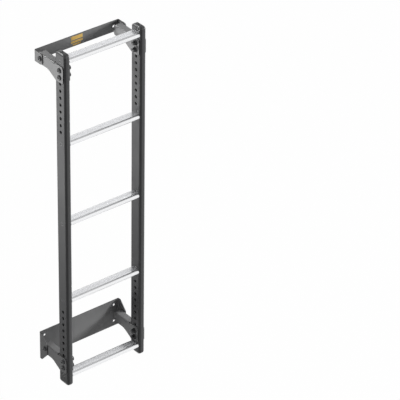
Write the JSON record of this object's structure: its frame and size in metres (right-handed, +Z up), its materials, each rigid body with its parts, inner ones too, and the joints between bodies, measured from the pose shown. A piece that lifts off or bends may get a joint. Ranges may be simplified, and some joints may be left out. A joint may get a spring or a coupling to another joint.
{
  "type": "van door ladder",
  "caption": "Van door ladder with flat treads between hollow stiles, carried on folded arms by two door plates that swivel to the door's slope.",
  "frame": {"origin": "centre of the lower plate's back face, midway between its four fixing holes", "axes": "+X along the treads from the left stile to the right one as seen from the front, +Y out of the plates' back faces at the door, +Z up along the stiles"},
  "size_m": [0.345, 0.154, 1.268],
  "materials": {
    "stile_coat": "satin dark grey powder coat on extruded aluminium",
    "cap_plastic": "moulded black plastic with a fine grain",
    "tread_aluminium": "satin anodised extrusion with a ribbed top",
    "screw_steel": "black coated steel screws",
    "arm_coat": "satin dark grey powder coat on folded sheet",
    "plate_coat": "satin dark grey powder coat on folded sheet",
    "bolt_steel": "black coated steel bolts and nuts"
  },
  "bodies": {
    "ladder": {"left_stile": "stile_coat", "right_stile": "stile_coat", "left_top_cap": "cap_plastic", "left_bottom_cap": "cap_plastic", "right_top_cap": "cap_plastic", "right_bottom_cap": "cap_plastic", "rung_1": "tread_aluminium", "rung_2": "tread_aluminium", "rung_3": "tread_aluminium", "rung_4": "tread_aluminium", "rung_5": "tread_aluminium", "left_rung_screws": "screw_steel", "right_rung_screws": "screw_steel", "upper_left_arm": "arm_coat", "upper_right_arm": "arm_coat", "lower_left_arm": "arm_coat", "lower_right_arm": "arm_coat", "upper_left_arm_bolts": "bolt_steel", "upper_right_arm_bolts": "bolt_steel", "lower_left_arm_bolts": "bolt_steel", "lower_right_arm_bolts": "bolt_steel", "upper_left_arm_nuts": "bolt_steel", "upper_right_arm_nuts": "bolt_steel", "lower_left_arm_nuts": "bolt_steel", "lower_right_arm_nuts": "bolt_steel", "upper_left_pivot_bolt": "bolt_steel", "upper_right_pivot_bolt": "bolt_steel", "lower_left_pivot_bolt": "bolt_steel", "lower_right_pivot_bolt": "bolt_steel", "upper_left_pivot_nut": "bolt_steel", "upper_right_pivot_nut": "bolt_steel", "lower_left_pivot_nut": "bolt_steel", "lower_right_pivot_nut": "bolt_steel"},
    "upper_plate_body": {"upper_plate": "plate_coat"},
    "lower_plate_body": {"lower_plate": "plate_coat"}
  },
  "joints": [
    {"name": "upper_plate_tilt", "type": "hinge", "parent": "ladder", "child": "upper_plate_body", "pos_m": [0, -0.031, 1.114], "axis": [1, 0, 0], "range_deg": [-30, 30]},
    {"name": "lower_plate_tilt", "type": "hinge", "parent": "ladder", "child": "lower_plate_body", "pos_m": [0, -0.031, 0], "axis": [1, 0, 0], "range_deg": [-30, 30]}
  ]
}
